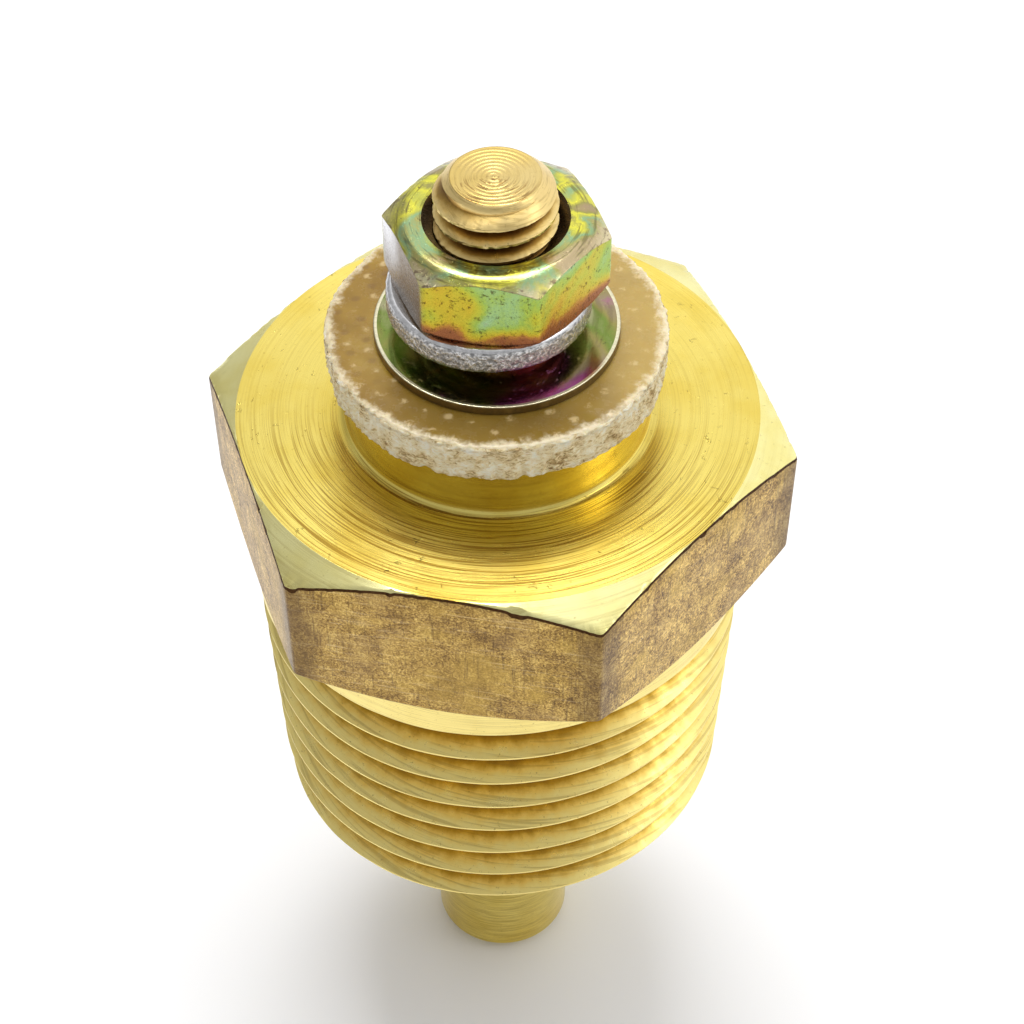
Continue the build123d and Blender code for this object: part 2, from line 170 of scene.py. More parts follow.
def hex_radius(angles, flat_r, turn=0.0, sharpness=260.0):
    """The polar radius of a hexagon with a corner at the angle turn and slightly worn corners."""
    normals = turn + math.pi / 6 + np.arange(6) * math.pi / 3
    reach = np.cos(angles[None, :] - normals[:, None])
    soft = np.log(np.exp(sharpness * (reach - 1)).sum(axis=0)) / sharpness + 1
    return flat_r / soft


def thread_radius(z, angles, first, pitch, crest, depth, root_half, last=None, fade=0.4):
    """The radius of a right-hand 60 degree thread at levels z, shaped (rows, angles).

    Given last, the groove runs out within the last fade turns below that level.
    """
    share = np.mod((angles - thread_start) / TURN, 1.0)
    turn_at = (z - first) / pitch - share
    centre = np.round(turn_at) + share
    away = np.abs(z - first - centre * pitch)
    if last is not None:
        left = np.clip(((last - first) / pitch - centre) / fade, 0, 1)
        depth = depth * left * left * (3 - 2 * left)
    wall = crest - depth + np.maximum(0, away - root_half) / FLANK
    return np.minimum(crest, wall)


class Shell:
    """The quads of one piece of revolution, welded into a closed mesh when it is finished."""

    def __init__(self, angles, shift=(0.0, 0.0)):
        self.angles = angles
        self.shift = shift
        self.verts = []
        self.faces = []
        self.slots = []
        self.count = 0

    def grid(self, r, z, slot):
        """Rows of points at radii r and levels z, both shaped (rows, angles)."""
        columns = len(self.angles)
        r, z = np.broadcast_arrays(r, z)
        x = r * np.cos(self.angles) + self.shift[0]
        y = r * np.sin(self.angles) + self.shift[1]
        self.verts.append(np.stack([x, y, z], axis=-1).reshape(-1, 3))
        rows = r.shape[0]
        low = self.count + np.arange(rows - 1)[:, None] * columns + np.arange(columns - 1)[None, :]
        quads = np.stack([low, low + 1, low + columns + 1, low + columns], axis=-1)
        self.faces.append(quads.reshape(-1, 4))
        self.slots.append(np.full((rows - 1) * (columns - 1), slot))
        self.count += rows * columns

    def outline(self, points, closed=False):
        """Rows along an outline of (radius, z, rounding, slot) corners.

        slot is that of the stretch after the corner, and a fifth value divides that stretch.
        """
        width = len(self.angles)
        corners = [np.stack([np.broadcast_to(p[0], width), np.broadcast_to(p[1], width)]) for p in points]
        total = len(points)
        rows, marks = [], []
        for i, point in enumerate(points):
            here = corners[i].astype(float)
            ends = not closed and i in (0, total - 1)
            if point[2] and not ends:
                back = corners[i - 1] - here
                ahead = corners[(i + 1) % total] - here
                back_len = np.maximum(np.hypot(*back), 1e-9)
                ahead_len = np.maximum(np.hypot(*ahead), 1e-9)
                cosine = (back * ahead).sum(axis=0) / back_len / ahead_len
                open_angle = np.arccos(np.clip(cosine, -1, 1))
                cut = point[2] / np.tan(np.maximum(open_angle / 2, 0.05))
                cut = np.minimum(cut, 0.4 * np.minimum(back_len, ahead_len))
                start = here + back / back_len * cut
                end = here + ahead / ahead_len * cut
                before = points[i - 1][3]
                guard = 0.15
                rows.append(here + back / back_len * cut * (1 + guard))
                marks.append(before)
                for step in range(5):
                    t = step / 4
                    rows.append((1 - t) ** 2 * start + 2 * t * (1 - t) * here + t * t * end)
                    marks.append(before if step < 2 else point[3])
                rows.append(here + ahead / ahead_len * cut * (1 + guard))
                marks.append(point[3])
            else:
                rows.append(here)
                marks.append(point[3])
            if len(point) > 4:
                following = corners[(i + 1) % total]
                for step in range(1, point[4]):
                    rows.append(here + (following - here) * step / point[4])
                    marks.append(point[3])
        if closed:
            rows.append(rows[0])
            marks.append(marks[-1])
        for a in range(len(rows) - 1):
            pair = np.stack([rows[a], rows[a + 1]])
            self.grid(pair[:, 0], pair[:, 1], marks[a])

    def helix(self, low, high, first, pitch, phases, radius, slot):
        """Rows that follow a thread between two levels. radius gives (rows, angles) radii."""
        width = self.angles - thread_start
        turns = int(math.ceil((high - low) / pitch)) + 3
        start = math.floor((low - first) / pitch) - 2
        steps = np.array([k + p for k in range(start, start + turns + 1) for p in phases])
        z = first + pitch * (steps[:, None] + width[None, :] / TURN)
        z = np.clip(z, low, high)
        used = (z.max(axis=1) > low + 1e-9) & (z.min(axis=1) < high - 1e-9)
        keep = np.flatnonzero(used)
        z = z[max(keep[0] - 1, 0):keep[-1] + 2]
        self.grid(radius(z, self.angles), z, slot)

    def bend(self, move):
        """Moves every point: move takes and returns x, y, z in millimetres."""
        for i, block in enumerate(self.verts):
            self.verts[i] = np.stack(move(block[:, 0], block[:, 1], block[:, 2]), axis=-1)

    def build(self, name, materials):
        """The finished object, in metres."""
        verts = np.concatenate(self.verts)
        faces = np.concatenate(self.faces).tolist()
        slots = np.concatenate(self.slots)
        return make_object(name, verts, faces, slots, materials, smooth_angle=40, weld=True)


def make_object(name, verts, faces, slots, materials, smooth_angle, weld=False):
    """A smooth mesh object with its normals outwards, from points in millimetres.

    Edges sharper than smooth_angle degrees stay sharp. weld joins points that coincide.
    """
    mesh = bpy.data.meshes.new(name)
    mesh.from_pydata((verts * MM).tolist(), [], faces)
    for material in materials:
        mesh.materials.append(material)
    mesh.polygons.foreach_set("material_index", np.array(slots, dtype=np.int32))
    work = bmesh.new()
    work.from_mesh(mesh)
    if weld:
        bmesh.ops.remove_doubles(work, verts=work.verts, dist=2e-7)
        bmesh.ops.dissolve_degenerate(work, edges=work.edges, dist=1e-8)
    bmesh.ops.recalc_face_normals(work, faces=work.faces)
    if work.calc_volume(signed=True) < 0:
        bmesh.ops.reverse_faces(work, faces=work.faces)
    work.to_mesh(mesh)
    work.free()
    mesh.shade_smooth()
    mesh.set_sharp_from_angle(angle=math.radians(smooth_angle))
    thing = bpy.data.objects.new(name, mesh)
    bpy.context.scene.collection.objects.link(thing)
    return thing


def swept(name, points, slots, materials):
    """A closed bar through rings of points, shaped (rings, ring, 3) in millimetres.

    slots holds the material of each strip along the bar. The ends take the first material.
    """
    steps, count = points.shape[:2]
    faces, marks = [], []
    for i in range(steps - 1):
        for j in range(count):
            k = (j + 1) % count
            faces.append((i * count + j, i * count + k, (i + 1) * count + k, (i + 1) * count + j))
            marks.append(slots[j])
    faces.append(tuple(range(count))[::-1])
    faces.append(tuple((steps - 1) * count + j for j in range(count)))
    marks += [0, 0]
    return make_object(name, points.reshape(-1, 3), faces, marks, materials, smooth_angle=50)


# -------- material kit
class Paint:
    """A node material with a Principled shader and short ways to add nodes.

    mm is the place in millimetres, z its height, radius its distance from the axis and out the
    direction away from the axis.
    """

    def __init__(self, name, **sockets):
        self.material = bpy.data.materials.new(name)
        self.material.use_nodes = True
        self.tree = self.material.node_tree
        self.shader = self.tree.nodes["Principled BSDF"]
        for key, value in sockets.items():
            self.shader.inputs[key.replace("_", " ")].default_value = value
        place = self.node("ShaderNodeTexCoord").outputs["Object"]
        self.mm = self.vector("SCALE", place, scale=1 / MM)
        split = self.node("ShaderNodeSeparateXYZ", Vector=self.mm)
        self.z = split.outputs["Z"]
        flat = self.vector("MULTIPLY", self.mm, (1, 1, 0))
        self.radius = self.vector("LENGTH", flat)
        self.out = self.vector("NORMALIZE", flat)

    def put(self, socket, value):
        """Sets a socket, or links it where the value is another socket."""
        if isinstance(value, bpy.types.NodeSocket):
            self.tree.links.new(value, socket)
        else:
            socket.default_value = value

    def node(self, kind, **sockets):
        made = self.tree.nodes.new(kind)
        for key, value in sockets.items():
            self.put(made.inputs[key.replace("_", " ")], value)
        return made

    def vector(self, operation, a, b=None, scale=None):
        made = self.tree.nodes.new("ShaderNodeVectorMath")
        made.operation = operation
        self.put(made.inputs[0], a)
        if b is not None:
            self.put(made.inputs[1], b)
        if scale is not None:
            self.put(made.inputs["Scale"], scale)
        return made.outputs["Value"] if operation in ("LENGTH", "DOT_PRODUCT") else made.outputs[0]

    def math(self, operation, a, b=0.0):
        made = self.tree.nodes.new("ShaderNodeMath")
        made.operation = operation
        self.put(made.inputs[0], a)
        self.put(made.inputs[1], b)
        return made.outputs[0]

    def times(self, a, b):
        return self.math("MULTIPLY", a, b)

    def plus(self, a, b):
        return self.math("ADD", a, b)

    def minus(self, a, b):
        return self.math("SUBTRACT", a, b)

    def remap(self, value, low, high, to_low=0.0, to_high=1.0):
        """The value, from low to high, as a smooth step from to_low to to_high."""
        made = self.node("ShaderNodeMapRange", Value=value)
        made.interpolation_type = "SMOOTHSTEP"
        made.inputs["From Min"].default_value = low
        made.inputs["From Max"].default_value = high
        made.inputs["To Min"].default_value = to_low
        made.inputs["To Max"].default_value = to_high
        return made.outputs[0]

    def noise(self, scale, detail=3.0, rough=0.55, vector=None, stretch=None, twist=0.0):
        """Noise with about scale bumps a millimetre, or along another vector."""
        vector = self.mm if vector is None else vector
        if stretch is not None:
            vector = self.vector("MULTIPLY", vector, stretch)
        made = self.node("ShaderNodeTexNoise", Vector=vector, Scale=scale, Detail=detail, Roughness=rough,
                         Distortion=twist)
        return made.outputs["Fac"]

    def ramp(self, value, *stops):
        """The colour at this value between stops of (place, colour)."""
        made = self.node("ShaderNodeValToRGB", Fac=value)
        band = made.color_ramp.elements
        while len(band) < len(stops):
            band.new(0.5)
        for element, (place, colour) in zip(band, stops):
            element.position = place
            element.color = (*colour, 1)
        return made.outputs["Color"]

    def mix(self, share, a, b):
        made = self.tree.nodes.new("ShaderNodeMix")
        made.data_type = "RGBA"
        self.put(made.inputs[0], share)
        self.put(made.inputs[6], a if isinstance(a, bpy.types.NodeSocket) else (*a, 1))
        self.put(made.inputs[7], b if isinstance(b, bpy.types.NodeSocket) else (*b, 1))
        return made.outputs[2]

    def bump(self, height, depth_um, normal=None):
        """A bump of this height field, depth_um micrometres from 0 to 1."""
        made = self.node("ShaderNodeBump", Height=height, Distance=depth_um * 1e-6)
        if normal is not None:
            self.put(made.inputs["Normal"], normal)
        return made.outputs["Normal"]

    def rings(self, per_mm, wander=0.8, detail=2.0, along=0.0):
        """Lathe marks: noise that is fine along the radius (and along Z, by along) and long around."""
        lift = self.times(self.z, along)
        fine = self.times(self.plus(self.radius, lift), per_mm)
        turn = self.vector("SCALE", self.out, scale=wander)
        where = self.node("ShaderNodeSeparateXYZ", Vector=turn)
        joined = self.node("ShaderNodeCombineXYZ", X=fine, Y=where.outputs[0], Z=where.outputs[1])
        return self.noise(1.0, detail=detail, vector=joined.outputs[0])

    def facing(self, angle, low, high):
        """How far a point lies towards this direction from the axis, in degrees, as a share."""
        toward = (math.cos(math.radians(angle)), math.sin(math.radians(angle)), 0)
        return self.remap(self.vector("DOT_PRODUCT", self.out, toward), low, high)

    def tangent(self):
        """The direction round the axis, for the stretch of lathe-turned reflections."""
        made = self.tree.nodes.new("ShaderNodeTangent")
        made.direction_type = "RADIAL"
        made.axis = "Z"
        return made.outputs[0]

    def finish(self, **links):
        """Links these sockets of the shader, or sets them, and returns the material."""
        for key, value in links.items():
            self.put(self.shader.inputs[key.replace("_", " ")], value)
        return self.material


def turned_brass(name, tint=(0.84, 0.69, 0.19), dark=(0.30, 0.17, 0.02), rough=0.27, marks=6.0, deep=5.0,
                 along=0.0, aniso=0.5, lined=0.5, nicks=0.0, front_shade=0.0):
    """Brass off the lathe: long tool marks, cloudy tarnish, specks and a few raised nicks.

    marks sets how close the tool marks lie and along how fast they change with z. lined is how
    dark they are, deep and nicks are heights in micrometres, and the last argument sets how far
    painted shade darkens the front. The tool marks are also drawn darker and deeper towards the
    front, as painted shade.
    """
    p = Paint(name, Metallic=1.0, Anisotropic=aniso, Anisotropic_Rotation=0.25)
    feed = p.rings(marks, wander=1.3, detail=2.0, along=along)
    fine = p.rings(marks * 2.3, wander=2.4, detail=3.0, along=along)
    broad = p.rings(1.6, wander=1.0, detail=3.0, along=along)
    cloud = p.noise(0.30, detail=4.0)
    speck = p.noise(6.0, detail=6.0, rough=0.75)
    # Painted shade: the tool marks are drawn darker and deeper on the side towards -84 degrees, the
    # front.
    front_marks_and_shade = p.facing(-84, -0.05, 0.80)
    deeper = tuple(c * k for c, k in zip(tint, (0.92, 0.86, 0.62)))
    colour = p.mix(p.remap(cloud, 0.35, 0.7), tint, deeper)
    strength = p.times(p.plus(p.times(front_marks_and_shade, 0.88), 0.12), lined)
    colour = p.mix(p.times(p.remap(feed, 0.47, 0.39), strength), colour, dark)
    thin = p.times(p.remap(fine, 0.50, 0.38), p.times(strength, 0.8))
    colour = p.mix(thin, colour, dark)
    colour = p.mix(p.times(p.remap(speck, 0.60, 0.70), 0.6), colour, dark)
    # Painted shade: the front, towards -96 degrees, is darkened by the share the last argument gives.
    painted_front_shade = p.times(p.times(p.facing(-96, 0.80, 1.0), front_shade), cloud)
    colour = p.mix(painted_front_shade, colour, dark)
    roughness = p.plus(p.times(broad, 0.10), rough - 0.05)
    scuff = p.noise(1.3, detail=5.0, rough=0.6, twist=1.5)
    nick = p.remap(scuff, 0.66, 0.70)
    normal = p.bump(p.times(feed, front_marks_and_shade), deep)
    normal = p.bump(p.times(fine, front_marks_and_shade), deep * 0.6, normal)
    normal = p.bump(fine, deep * 0.15, normal)
    normal = p.bump(nick, nicks, normal)
    return p.finish(Base_Color=colour, Roughness=roughness, Normal=normal, Tangent=p.tangent())


def thread_brass(name, slope, start, limit, depth, bands, uneven=0.45, deep=1.0):
    """A brass thread: crests bright from wear and from painted highlight, over flanks that darken towards
    the roots in painted shade.

    The crests' radius is start plus slope for each millimetre of z, and at most limit. depth is
    how far below them the last of the bands comes.
    """
    p = Paint(name, Metallic=1.0, Anisotropic=0.4, Anisotropic_Rotation=0.25)
    crest = p.math("MINIMUM", p.plus(p.times(p.z, slope), start), limit)
    below = p.minus(crest, p.radius)
    marks = p.rings(9.0, wander=2.0, detail=3.0, along=3.0)
    streak = p.noise(1.0, detail=4.0, rough=0.6, stretch=(1.6, 1.6, 0.35))
    grain = p.noise(7.0, detail=5.0, rough=0.7)
    below = p.plus(below, p.times(p.minus(streak, 0.5), uneven))
    # The colour runs from pale at the crests to dark at the roots: painted shade in the grooves.
    colour = p.ramp(p.remap(below, 0.0, depth), *bands)
    colour = p.mix(p.times(p.remap(marks, 0.5, 0.36), 0.35), colour, (0.30, 0.19, 0.04))
    colour = p.mix(p.times(p.remap(grain, 0.60, 0.70), 0.5), colour, (0.22, 0.13, 0.03))
    normal = p.bump(marks, 1.6 * deep)
    normal = p.bump(grain, 2.5 * deep, normal)
    normal = p.bump(streak, 12.0 * deep, normal)
    return p.finish(Base_Color=colour, Roughness=p.remap(streak, 0.3, 0.7, 0.27, 0.40), Normal=normal,
                    Tangent=p.tangent())


# Thread colours from the crest down to the root, for the pipe thread and the stud: the darkening towards
# the root is painted shade.
PIPE_BANDS = (
    (0.05, (1.0, 0.82, 0.29)),
    (0.35, (0.90, 0.64, 0.16)),
    (0.65, (0.54, 0.33, 0.045)),
    (1.00, (0.22, 0.11, 0.012)),
)
STUD_BANDS = (
    (0.05, (0.88, 0.67, 0.28)),
    (0.30, (0.80, 0.57, 0.20)),
    (0.60, (0.44, 0.27, 0.065)),
    (1.00, (0.16, 0.08, 0.02)),
)


def mill_brass():
    """The drawn flats of the hexagon bar: brown, fibrous with fine scratches, stained in patches."""
    p = Paint("brass_drawn_flats", Metallic=1.0, Coat_Weight=0.3, Coat_Roughness=0.3)
    fibre = p.noise(4.5, detail=8.0, rough=0.72, twist=1.8)
    grain = p.noise(11.0, detail=5.0, rough=0.75)
    mottle = p.noise(0.8, detail=6.0, rough=0.65, twist=0.4)
    patch = p.noise(0.33, detail=3.0)
    upright = p.noise(1.0, detail=5.0, rough=0.65, stretch=(9.0, 9.0, 0.45))
    level = p.noise(1.0, detail=5.0, rough=0.65, stretch=(0.5, 0.5, 11.0))
    tone = p.plus(p.times(mottle, 0.22), p.times(fibre, 0.43))
    tone = p.plus(tone, p.times(grain, 0.35))
    colour = p.ramp(tone, (0.435, (0.11, 0.050, 0.011)), (0.48, (0.36, 0.21, 0.045)),
                    (0.525, (0.64, 0.41, 0.095)), (0.585, (1.0, 0.74, 0.23)))
    colour = p.mix(p.times(p.remap(patch, 0.47, 0.68), 0.50), colour, (0.66, 0.44, 0.07))
    colour = p.mix(p.times(p.remap(patch, 0.46, 0.34), 0.30), colour, (0.44, 0.29, 0.12))
    # Painted shade: the front flat, towards -100 degrees, is darkened.
    colour = p.mix(p.times(p.facing(-100, 0.72, 0.95), 0.30), colour, (0.30, 0.175, 0.045))
    colour = p.mix(p.times(p.remap(upright, 0.54, 0.68), 0.55), colour, (0.11, 0.055, 0.018))
    colour = p.mix(p.times(p.remap(level, 0.55, 0.70), 0.40), colour, (0.95, 0.74, 0.38))
    corner = p.minus(p.radius, hex_flat_r)
    beside = p.remap(p.plus(corner, p.times(upright, 0.9)), 1.35, 1.95)
    colour = p.mix(p.times(beside, 0.6), colour, (0.13, 0.07, 0.022))
    # The flats darken towards their top edge, unevenly with the mottle.
    top_darkening = p.remap(p.plus(p.z, p.times(mottle, 1.6)), hex_h + 0.25, hex_h + 1.0)
    colour = p.mix(p.times(top_darkening, 0.45), colour, (0.10, 0.05, 0.02))
    normal = p.bump(grain, 9.0)
    normal = p.bump(fibre, 16.0, normal)
    normal = p.bump(mottle, 20.0, normal)
    normal = p.bump(upright, 6.0, normal)
    return p.finish(Base_Color=colour, Roughness=p.remap(tone, 0.38, 0.62, 0.55, 0.36), Normal=normal)


def chromate(name, bands, rough=0.2, patch=0.3, spread=(0.27, 0.73), deep=3.0, ring=6.0, lines=0.0,
             edge=None, worn=None, rim=None, stain=None, pitted=0.61):
    """Zinc plate under a chromate film, whose colour wanders through bands as its thickness does.

    edge is (inner z, outer z, drop): the film thins by drop towards the outer z. worn is the
    direction, in degrees, of a flat rubbed to bare zinc, whose colour runs from dark brown to
    pale towards its top and its end at 30 degrees less: a painted reflection. rim is (inner
    radius, outer radius, colour): the film is rubbed pale towards the outer radius. stain is the
    direction in which the film is thinner, as (degrees, drop). A lower pitted gives more dark pits.
    """
    p = Paint(name, Metallic=1.0)
    film = p.noise(patch, detail=2.0, rough=0.42, twist=1.1)
    grain = p.noise(8.0, detail=5.0, rough=0.72)
    swirl = p.rings(ring, wander=2.2, detail=3.0)
    gritty = p.times(p.minus(grain, 0.5), 0.26)
    ringed = p.times(p.minus(swirl, 0.5), 0.25)
    thick = p.plus(p.plus(p.remap(film, *spread), gritty), ringed)
    if edge is not None:
        thick = p.minus(thick, p.remap(p.z, edge[0], edge[1], 0.0, edge[2]))
    if stain is not None:
        thick = p.minus(thick, p.times(p.facing(stain[0], 0.78, 0.98), stain[1]))
    colour = p.ramp(thick, *bands)
    streak = p.noise(1.4, detail=6.0, rough=0.7, twist=2.0)
    if rim is not None:
        reach = p.plus(p.radius, p.times(p.minus(streak, 0.5), 0.9))
        rubbed = p.remap(reach, rim[0], rim[1])
        colour = p.mix(p.times(rubbed, p.remap(film, 0.36, 0.56, 0.25, 0.95)), colour, rim[2])
        scar = p.times(p.remap(streak, 0.53, 0.60), rubbed)
        colour = p.mix(p.times(scar, 0.75), colour, (0.15, 0.07, 0.05))
    colour = p.mix(p.times(p.remap(swirl, 0.46, 0.36), lines), colour, (0.10, 0.08, 0.03))
    pit = p.remap(p.noise(4.2, detail=5.0, rough=0.78), pitted, pitted + 0.07)
    colour = p.mix(p.times(pit, 0.75), colour, (0.10, 0.055, 0.02))
    if worn is not None:
        # Bare zinc with a painted reflection: the flat turns from dark brown to pale towards its top and
        # towards its end at 30 degrees less.
        bare = p.facing(worn, 0.84, 0.90)
        high = p.remap(p.z, nut_low + 0.5, nut_top, 0.2, 1.0)
        fade = p.times(p.facing(worn - 30, 0.86, 1.0), high)
        colour = p.mix(bare, colour, p.mix(fade, (0.17, 0.12, 0.07), (0.86, 0.86, 0.88)))
    normal = p.bump(grain, deep)
    normal = p.bump(swirl, deep * 0.8, normal)
    normal = p.bump(pit, -6.0, normal)
    roughness = p.remap(grain, 0.3, 0.7, rough * 0.7, rough * 1.4)
    return p.finish(Base_Color=colour, Roughness=roughness, Normal=normal)


NUT_BANDS = (
    (0.00, (0.32, 0.12, 0.05)),
    (0.14, (0.48, 0.22, 0.05)),
    (0.28, (0.60, 0.44, 0.04)),
    (0.46, (0.52, 0.50, 0.05)),
    (0.62, (0.36, 0.50, 0.09)),
    (0.80, (0.34, 0.54, 0.26)),
    (1.00, (0.62, 0.44, 0.34)),
)
TOP_BANDS = (
    (0.00, (0.46, 0.34, 0.20)),
    (0.20, (0.38, 0.35, 0.11)),
    (0.38, (0.80, 0.76, 0.09)),
    (0.54, (0.52, 0.54, 0.12)),
    (0.70, (0.32, 0.50, 0.27)),
    (0.85, (0.44, 0.42, 0.14)),
    (1.00, (0.56, 0.44, 0.26)),
)
WASHER_BANDS = (
    (0.00, (0.46, 0.12, 0.32)),
    (0.20, (0.36, 0.28, 0.18)),
    (0.46, (0.34, 0.30, 0.10)),
    (0.72, (0.20, 0.28, 0.06)),
    (1.00, (0.40, 0.38, 0.22)),
)


def fibre_laminate(edge=False):
    """Glass cloth in brown epoxy: glossy above with pale knots of weave, torn pale fibres at the edge."""
    name = "laminate_torn_edge" if edge else "laminate_face"
    p = Paint(name, IOR=1.48)
    fine = p.noise(11.0, detail=5.0, rough=0.7)
    if edge:
        strands = p.noise(1.0, detail=8.0, rough=0.7, stretch=(2.2, 2.2, 5.5), twist=2.2)
        clumps = p.noise(1.3, detail=3.0, rough=0.6)
        tone = p.plus(p.times(strands, 0.6), p.times(clumps, 0.4))
        colour = p.ramp(tone, (0.37, (0.28, 0.16, 0.05)), (0.43, (0.62, 0.45, 0.20)),
                        (0.49, (0.90, 0.75, 0.44)), (0.60, (1.0, 0.95, 0.78)))
        normal = p.bump(strands, 55.0)
        normal = p.bump(fine, 20.0, normal)
        return p.finish(Base_Color=colour, Roughness=p.remap(strands, 0.3, 0.7, 0.6, 0.9),
                        Normal=normal, Subsurface_Weight=0.25, Subsurface_Radius=(0.9, 0.7, 0.45),
                        Subsurface_Scale=0.0005)
    weave_pitch = 1.56
    turned = p.node("ShaderNodeVectorRotate", Vector=p.mm, Angle=math.radians(-24)).outputs[0]
    drift = p.noise(0.5, detail=2.0)
    split = p.node("ShaderNodeSeparateXYZ", Vector=turned)
    bent = p.plus(split.outputs[0], p.times(drift, 0.5))
    warp = p.math("SINE", p.times(bent, TURN / weave_pitch))
    weft = p.math("SINE", p.times(split.outputs[1], TURN / (weave_pitch * 0.8)))
    knots = p.times(warp, weft)
    uneven = p.noise(0.35, detail=4.0)
    blotch = p.noise(2.2, detail=4.0, rough=0.65)
    spot = p.times(p.remap(knots, 0.5, 0.95), p.remap(blotch, 0.44, 0.60))
    gap = p.times(p.remap(knots, -0.5, -0.95), p.facing(150, -0.2, 0.8))
    colour = p.ramp(uneven, (0.32, (0.25, 0.135, 0.010)), (0.52, (0.36, 0.21, 0.020)),
                    (0.72, (0.47, 0.31, 0.055)))
    colour = p.mix(p.times(gap, 0.45), colour, (0.20, 0.10, 0.02))
    # Painted shadow: the front of the washer, towards -80 degrees, is darkened where the nut stack shades
    # it.
    colour = p.mix(p.times(p.facing(-80, 0.45, 1.0), 0.65), colour, (0.20, 0.125, 0.025))
    colour = p.mix(p.times(spot, 0.65), colour, (0.74, 0.56, 0.28))
    # Painted light: the side towards 40 degrees, behind and to the right, is lighter.
    colour = p.mix(p.times(p.facing(40, -0.3, 0.9), 0.45), colour, (0.64, 0.48, 0.16))
    reach = p.plus(p.radius, p.times(blotch, 1.1))
    rim = p.remap(reach, fibre_r - 0.05, fibre_r + 0.45)
    colour = p.mix(p.times(rim, 0.9), colour, (0.84, 0.73, 0.50))
    normal = p.bump(knots, 6.0)
    normal = p.bump(blotch, 7.0, normal)
    normal = p.bump(rim, 20.0, normal)
    return p.finish(Base_Color=colour, Roughness=p.remap(blotch, 0.3, 0.7, 0.16, 0.34), Normal=normal,
                    Subsurface_Weight=0.25, Subsurface_Radius=(0.9, 0.6, 0.2), Subsurface_Scale=0.0005)


def plain_metal(name, colour, rough, grain_scale=8.0, deep=3.0, shaded=0.72):
    """A metal with a fine grain that varies its colour, gloss and surface."""
    p = Paint(name, Metallic=1.0)
    grain = p.noise(grain_scale, detail=4.0, rough=0.65)
    cloud = p.noise(0.6, detail=2.0)
    shade = tuple(c * shaded for c in colour)
    tone = p.mix(p.remap(grain, 0.35, 0.7), shade, colour)
    tone = p.mix(p.times(cloud, 0.3), tone, shade)
    return p.finish(Base_Color=tone, Roughness=p.remap(grain, 0.3, 0.7, rough * 1.3, rough * 0.8),
                    Normal=p.bump(grain, deep))


def soft_material(name, colour, rough, grain_scale=12.0, deep=4.0):
    """Rubber or moulded resin: a fine matt grain, with slightly paler rubbed places."""
    p = Paint(name)
    grain = p.noise(grain_scale, detail=5.0, rough=0.7)
    rubbed = p.remap(p.noise(0.8, detail=2.0), 0.45, 0.7)
    pale = tuple(min(1.0, c * 1.8 + 0.02) for c in colour)
    tone = p.mix(p.times(rubbed, 0.5), colour, pale)
    return p.finish(Base_Color=tone, Roughness=p.remap(grain, 0.3, 0.7, rough, rough * 0.75),
                    Normal=p.bump(grain, deep))


# -------- pieces that replace CAD nodes
def set_piece(piece, body, node):
    """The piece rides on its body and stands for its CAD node."""
    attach(piece, body)
    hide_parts(node)


